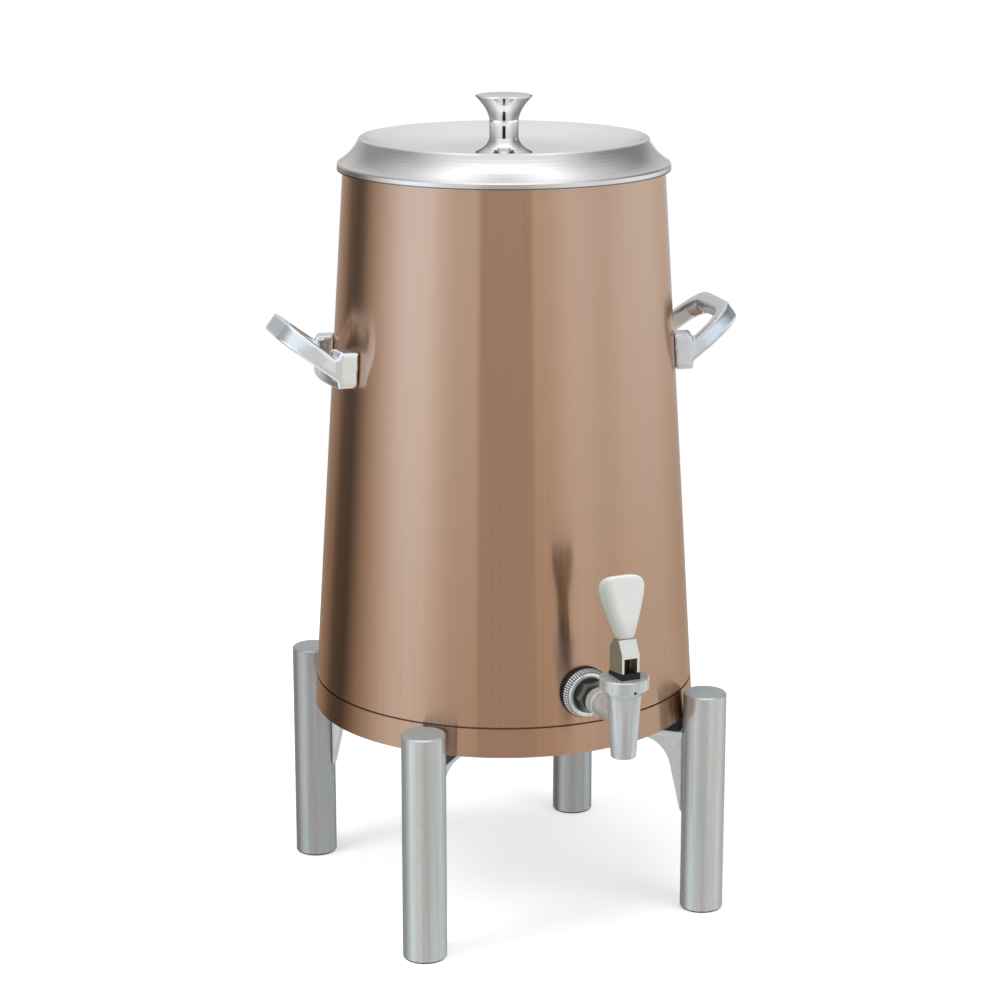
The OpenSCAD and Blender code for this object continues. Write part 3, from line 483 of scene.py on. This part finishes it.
def rounded_copy(node, name, voxel, passes):
    """A copy of a CAD solid as a casting: its edges are rounded and its corners filled."""
    bm = bmesh.new()
    bm.from_mesh(nodes[node].data)
    bmesh.ops.remove_doubles(bm, verts=bm.verts, dist=WELD_REACH)
    obj = add_mesh(name, bm)
    remesh = obj.modifiers.new("remesh", "REMESH")
    remesh.mode = "VOXEL"
    remesh.voxel_size = voxel
    smooth = obj.modifiers.new("smooth", "SMOOTH")
    smooth.factor = SMOOTH_SHARE
    smooth.iterations = passes
    apply_modifiers(obj)
    finish_piece(obj, node)
    return obj


# The two handles, the brackets and the paddle
left_casting = rounded_copy("left_handle", "left_handle_casting", *ROUNDED)
# Painted light: the left handle is given a brighter, cooler copy of the handle metal
dress(left_casting, cast_metal("left_handle_painted_light", LEFT_HANDLE_LIT, 0.12, **HANDLE_FINISH))
rounded_copy("right_handle", "right_handle_casting", *ROUNDED)
for corner in CORNERS:
    rounded_copy(f"{corner}_bracket", f"{corner}_bracket_casting", *CRISP)
rounded_copy("lever_paddle", "lever_paddle_moulding", *ROUNDED)


# The valve's spring, which shortens from below as the seat cup rises; here its coil is only copied
# as it stands, with a mesh of its own
def squeezed_spring(node):
    coil = add_object("valve_spring_coil", nodes[node].data.copy())
    finish_piece(coil, node)
    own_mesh(coil)


squeezed_spring("valve_spring")


# Knurled rings on the faucet's inlet
def lathe(name, profile, start_y, height, steps):
    """A ring of revolution along -Y. Each row of the profile is a radius, a distance along the
    axis, a depth of knurling and a number of teeth."""
    bm = bmesh.new()
    rings = []
    for i in range(steps):
        angle = math.tau * i / steps
        ring = []
        for radius, along, depth, teeth in profile:
            r = radius - depth * (0.5 - 0.5 * math.cos(teeth * angle))
            ring.append(bm.verts.new((r * math.cos(angle), start_y - along,
                                      height + r * math.sin(angle))))
        rings.append(ring)
    count = len(profile)
    for i in range(steps):
        a, b = rings[i], rings[(i + 1) % steps]
        for k in range(count):
            bm.faces.new((a[k], a[(k + 1) % count], b[(k + 1) % count], b[k]))
    bmesh.ops.recalc_face_normals(bm, faces=bm.faces)
    return add_mesh(name, bm)


collar_lo, collar_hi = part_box("faucet_collar")
INLET_Z = (collar_lo[2] + collar_hi[2]) / 2
SHANK_R = 8.6 * MM
KNURL = 0.8 * MM

# The collar: steps that get smaller outward, round a recess
TEETH = 60
STEPS = 3
STEP_IN = 0.85 * MM
COLLAR_R = (collar_hi[2] - collar_lo[2]) / 2
COLLAR_T = collar_hi[1] - collar_lo[1]
COLLAR_FACE_R = COLLAR_R - STEPS * STEP_IN
COLLAR_FACE_T = 1 * MM
RECESS_R = 15.2 * MM
BASE_T = 3 * MM
LIP_BEVEL = 0.4 * MM
FACE_BEVEL = 0.5 * MM
# Each step's bevels: how far in they go, and how far from the step's start or end they lie
START_IN = 0.3 * MM
START_FROM = 0.02 * MM
START_TO = 0.35 * MM
END_IN = 0.7 * MM
END_FROM = 0.75 * MM
END_TO = 0.15 * MM


def collar_profile():
    step_l = (COLLAR_T - COLLAR_FACE_T) / STEPS
    rows = [(SHANK_R, 0, 0, 0)]
    for i in range(STEPS):
        r = COLLAR_R - i * STEP_IN
        start = i * step_l
        end = (i + 1) * step_l
        rows += [(r - START_IN, start + START_FROM, 0, 0),
                 (r, start + START_TO, KNURL, TEETH),
                 (r, end - END_FROM, KNURL, TEETH),
                 (r - END_IN, end - END_TO, 0, 0)]
    rows += [(COLLAR_FACE_R, COLLAR_T - LIP_BEVEL, 0, 0),
             (COLLAR_FACE_R - FACE_BEVEL, COLLAR_T, 0, 0),
             (RECESS_R + LIP_BEVEL, COLLAR_T, 0, 0),
             (RECESS_R, COLLAR_T - LIP_BEVEL, 0, 0),
             (RECESS_R, BASE_T, 0, 0),
             (SHANK_R, BASE_T, 0, 0)]
    return rows


collar = lathe("faucet_collar_knurled", collar_profile(), collar_hi[1], INLET_Z, TEETH * 6)
finish_piece(collar, "faucet_collar")
dress(collar, knurled_metal("collar_chrome_knurled", KNURLED_CHROME, 0.16, (0, 0, INLET_Z), TEETH,
                            COLLAR_FACE_R))

# The coupling ring: knurled between two bevelled ends
ring_lo, ring_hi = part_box("coupling_ring")
RING_R = (ring_hi[2] - ring_lo[2]) / 2
RING_L = ring_hi[1] - ring_lo[1]
RING_TEETH = 44
# How far in and along each end's bevel starts, turns and ends
RING_ENDS = [(1.2 * MM, 0, 0), (0.3 * MM, 0.8 * MM, 0), (0, 1.5 * MM, KNURL)]


def ring_profile():
    start = [(RING_R - inward, along, depth, RING_TEETH) for inward, along, depth in RING_ENDS]
    end = [(r, RING_L - along, depth, teeth) for r, along, depth, teeth in reversed(start)]
    return [(SHANK_R, 0, 0, 0), *start, *end, (SHANK_R, RING_L, 0, 0)]


ring = lathe("coupling_ring_knurled", ring_profile(), ring_hi[1], INLET_Z, RING_TEETH * 8)
finish_piece(ring, "coupling_ring")

# Camera, at the photograph's viewing angle
VIEW_TURN = math.radians(24.06)
VIEW_PITCH = math.radians(14.46)
VIEW_DISTANCE = 2.31401
VIEW_HEIGHT = 0.95626
VIEW_SIDE = 0.00343
FOCAL_SHARE = 2.67708
SENSOR = 36.0
HEADING = Vector((math.sin(VIEW_TURN), math.cos(VIEW_TURN), 0))
SIDEWAYS = Vector((math.cos(VIEW_TURN), -math.sin(VIEW_TURN), 0))


def aim(obj, direction):
    obj.rotation_mode = "QUATERNION"
    obj.rotation_quaternion = direction.to_track_quat("-Z", "Y")


def make_camera():
    data = bpy.data.cameras.new("camera")
    data.sensor_width = SENSOR
    data.lens = FOCAL_SHARE * SENSOR
    camera = add_object("camera", data)
    camera.location = (Vector((0, AXIS_Y, VIEW_HEIGHT)) - VIEW_DISTANCE * HEADING
                       - VIEW_SIDE * SIDEWAYS)
    aim(camera, HEADING * math.cos(VIEW_PITCH) - Vector((0, 0, math.sin(VIEW_PITCH))))
    bpy.context.scene.camera = camera


# Studio: white all round, with soft grey panels that only reflections see
WALL_R = 2.6
WALL_COLUMNS = 1440
# Heights of the wall's rows, each with the share of the panels' red, green and blue that it gives
WALL_ROWS = [(-2.4, (0.82, 0.75, 0.65)), (-0.25, (0.82, 0.75, 0.65)), (0.14, (1, 1, 1)),
             (0.64, (1.14, 1.21, 1.24))]
# The panels of rows above this height are turned out a little, as the body is narrower there
HIGH_Z = 0.6
HIGH_TURN = 0.965
# Rows of the dome over the wall: elevation in degrees from the lid, then the tone to the front,
# the left, the right and the back
DOME_ROWS = [(13, 0.9, 0.34, 0.25, 0.75), (26, 0.9, 0.33, 0.26, 0.88), (40, 0.92, 0.5, 0.46, 1.0),
             (54, 1.1, 0.78, 0.74, 1.0), (62, 1.45, 1.1, 1.02, 0.95), (70, 1.6, 1.5, 1.45, 0.9),
             (80, 1.2, 1.2, 1.2, 0.85), (89.5, 0.8, 0.8, 0.8, 0.8)]
# The row at the lid's height: its elevation, and its tone to the left, the right and the back
LID_ROW = (2, 0.38, 0.26, 0.45)
# Bearings between which that row turns from the panels' light to its own
LID_TURNS = (112, 135)
DOME_Z = 0.65
# Elevation over which the dome curves in
DOME_KNEE = 40
# Bearings at which the front ends and the sides begin, then the sides end and the back begins
TO_SIDE = (45, 85)
TO_BACK = (135, 165)
# Tone and warmth of the panels by their bearing from the camera, in degrees, to the right
# positive. Warmth over 1 is a warm light, under 1 a cool one.
PANELS = [(-180, 0.5, 1), (-160, 0.62, 1), (-147, 0.6, 1), (-139, 0.5, 1.02), (-128, 0.2, 1),
          (-114, 0.13, 1), (-108, 0.23, 1.05), (-101, 0.45, 1.08), (-92, 0.71, 1.03),
          (-84, 0.96, 0.97), (-76, 1.21, 0.91), (-69, 1.4, 0.86), (-60, 1.47, 0.85),
          (-49, 1.36, 0.88), (-42, 1.14, 0.93), (-36, 0.99, 0.965), (-30, 0.91, 0.98),
          (-16.2, 0.9, 1), (-15.4, 0.57, 1.1), (17.8, 0.57, 1.1), (18.6, 0.76, 1.09),
          (28, 0.8, 1.06), (40, 1.0, 0.98), (46, 1.08, 0.955), (54, 1.08, 0.94), (66, 0.97, 0.97),
          (84, 1.12, 0.94), (92, 1.16, 0.92), (105, 1.22, 0.89), (120, 1.22, 0.88),
          (140, 1.12, 0.88), (160, 0.85, 0.9), (180, 0.5, 1)]
# The gap between the two lights, whose tone doesn't change with height
GAP = (-15.8, 18.2)


def panel_light(bearing):
    """Red, green and blue of the wall at a bearing."""
    tone, warmth = PANELS[0][1:]
    for (a, low, cool), (b, high, warm) in zip(PANELS, PANELS[1:]):
        if a <= bearing <= b:
            share = (bearing - a) / (b - a)
            tone = low + (high - low) * share
            warmth = cool + (warm - cool) * share
    return tone * warmth, tone, tone / warmth


def share_between(value, ends):
    """How far a value has come from the first end to the second, from 0 to 1."""
    return min(1, max(0, (value - ends[0]) / (ends[1] - ends[0])))


def dome_tone(bearing, front, left, right, back):
    """Tone of a row of the dome at a bearing, with soft steps from front to side to back."""
    side = left if bearing < 0 else right
    tone = front + (side - front) * share_between(abs(bearing), TO_SIDE)
    return tone + (back - tone) * share_between(abs(bearing), TO_BACK)


def column_rows(bearing):
    """Distance from the axis, height and colour of each row of the wall and dome at a bearing."""
    in_gap = GAP[0] <= bearing <= GAP[1]
    rows = []
    for z, share in WALL_ROWS:
        light = panel_light(bearing * HIGH_TURN if z > HIGH_Z else bearing)
        rows.append([WALL_R, z, light if in_gap else [c * s for c, s in zip(light, share)]])
    elevation, left, right, back = LID_ROW
    tone = dome_tone(bearing, left if bearing < 0 else right, left, right, back)
    grey = share_between(abs(bearing), LID_TURNS)
    light = [c + (tone - c) * grey for c in rows[-1][2]]
    rows.append([WALL_R, DOME_Z + WALL_R * math.tan(math.radians(elevation)), light])
    for elevation, *tones in DOME_ROWS:
        angle = math.radians(elevation)
        reach = WALL_R / math.cos(math.radians(min(elevation, DOME_KNEE)))
        rows.append([reach * math.cos(angle), DOME_Z + reach * math.sin(angle),
                     [dome_tone(bearing, *tones)] * 3])
    return rows


def glossy_only(obj):
    """Keep a light or a card out of everything but the reflections."""
    for ray in ("camera", "diffuse", "transmission", "volume_scatter", "shadow"):
        setattr(obj, f"visible_{ray}", False)


def glow(name, colour_name=None, tone=1.0):
    """A surface that gives light of one tone, or of the colour of its points."""
    material = bpy.data.materials.new(name)
    material.use_nodes = True
    tree = material.node_tree
    tree.nodes.clear()
    emission = tree.nodes.new("ShaderNodeEmission")
    emission.inputs["Strength"].default_value = tone
    if colour_name:
        attribute = tree.nodes.new("ShaderNodeAttribute")
        attribute.attribute_name = colour_name
        tree.links.new(attribute.outputs["Color"], emission.inputs["Color"])
    output = tree.nodes.new("ShaderNodeOutputMaterial")
    tree.links.new(emission.outputs[0], output.inputs["Surface"])
    return material


def toward(bearing, distance, z):
    """A point at a bearing from the camera, measured from the urn's axis."""
    angle = math.radians(bearing) - VIEW_TURN
    return Vector((math.sin(angle) * distance, AXIS_Y - math.cos(angle) * distance, z))


def make_wall():
    bm = bmesh.new()
    paint = bm.verts.layers.float_color.new("light")
    columns = []
    for i in range(WALL_COLUMNS):
        bearing = -180 + 360 * i / WALL_COLUMNS
        column = []
        for distance, z, light in column_rows(bearing):
            vert = bm.verts.new(toward(bearing, distance, z))
            vert[paint] = (*light, 1)
            column.append(vert)
        columns.append(column)
    for i in range(WALL_COLUMNS):
        a, b = columns[i], columns[(i + 1) % WALL_COLUMNS]
        for k in range(len(a) - 1):
            bm.faces.new((a[k], b[k], b[k + 1], a[k + 1]))
    wall = add_mesh("studio_wall", bm)
    wall.data.materials.append(glow("studio_panels", colour_name="light"))
    glossy_only(wall)


# The card before the knob's neck: its distance from the axis, half its width and its two ends
CARD_REACH = 0.045
CARD_HALF_W = 0.009
CARD_ENDS = (0.663, 0.69)


def make_card():
    """A small black card, which the knob shows as a dark line."""
    bm = bmesh.new()
    low, high = (toward(0, CARD_REACH, z) for z in CARD_ENDS)
    half = SIDEWAYS * CARD_HALF_W
    bm.faces.new([bm.verts.new(p) for p in (low - half, low + half, high + half, high - half)])
    card = add_mesh("knob_flag", bm)
    card.data.materials.append(glow("knob_flag", tone=0.02))
    glossy_only(card)


FLOOR_R = 1.1
FLOOR_PALE = 0.8
# Light that the floor gives to what the camera sees, so that it is as white as the background
FLOOR_LIFT = 0.42


def make_floor():
    """A pale disc that shows the object's shadow and is otherwise as white as the background."""
    bpy.ops.mesh.primitive_circle_add(vertices=128, radius=FLOOR_R, fill_type="NGON",
                                      location=(0, AXIS_Y, 0))
    floor = bpy.context.active_object
    floor.name = "studio_floor"
    material, tree, shader = new_material("floor_white")
    shader.inputs["Base Color"].default_value = (FLOOR_PALE, FLOOR_PALE, FLOOR_PALE, 1)
    shader.inputs["Roughness"].default_value = 0.9
    shader.inputs["Specular IOR Level"].default_value = 0.1
    path = tree.nodes.new("ShaderNodeLightPath")
    seen = math_node(tree, "MAXIMUM", path.outputs["Is Camera Ray"], path.outputs["Is Glossy Ray"])
    shader.inputs["Emission Color"].default_value = (1, 1, 1, 1)
    tree.links.new(math_node(tree, "MULTIPLY", seen, FLOOR_LIFT),
                   shader.inputs["Emission Strength"])
    floor.data.materials.append(material)
    floor.visible_glossy = False


# Strength of the white background as a light. It is 1 where it is seen.
WORLD_LIGHT = 0.55


def make_world():
    world = bpy.data.worlds.new("studio")
    bpy.context.scene.world = world
    world.use_nodes = True
    tree = world.node_tree
    path = tree.nodes.new("ShaderNodeLightPath")
    seen = math_node(tree, "MAXIMUM", path.outputs["Is Camera Ray"],
                     math_node(tree, "MAXIMUM", path.outputs["Is Glossy Ray"],
                               path.outputs["Is Transmission Ray"]))
    back = tree.nodes["Background"]
    back.inputs["Color"].default_value = (1, 1, 1, 1)
    tree.links.new(spread(tree, seen, WORLD_LIGHT, 1.0, 0, 1), back.inputs["Strength"])


# Lamps: name, bearing, height, distance, size and power. They are aimed at the body's middle.
LAMPS = [("key", -60, 2.0, 1.6, 1.2, 22), ("fill", 55, 1.7, 1.9, 1.4, 12),
         ("top", 10, 2.6, 0.3, 1.4, 16)]
LAMP_TARGET = Vector((0, AXIS_Y, 0.35))


def make_lamp(name, bearing, height, distance, size, power):
    data = bpy.data.lights.new(name, "AREA")
    data.shape = "DISK"
    data.size = size
    data.energy = power
    lamp = add_object(name, data)
    lamp.location = toward(bearing, distance, height)
    aim(lamp, LAMP_TARGET - lamp.location)
    lamp.visible_glossy = False


make_camera()
make_wall()
make_card()
make_floor()
make_world()
for row in LAMPS:
    make_lamp(*row)
bpy.context.scene.view_settings.view_transform = "Standard"
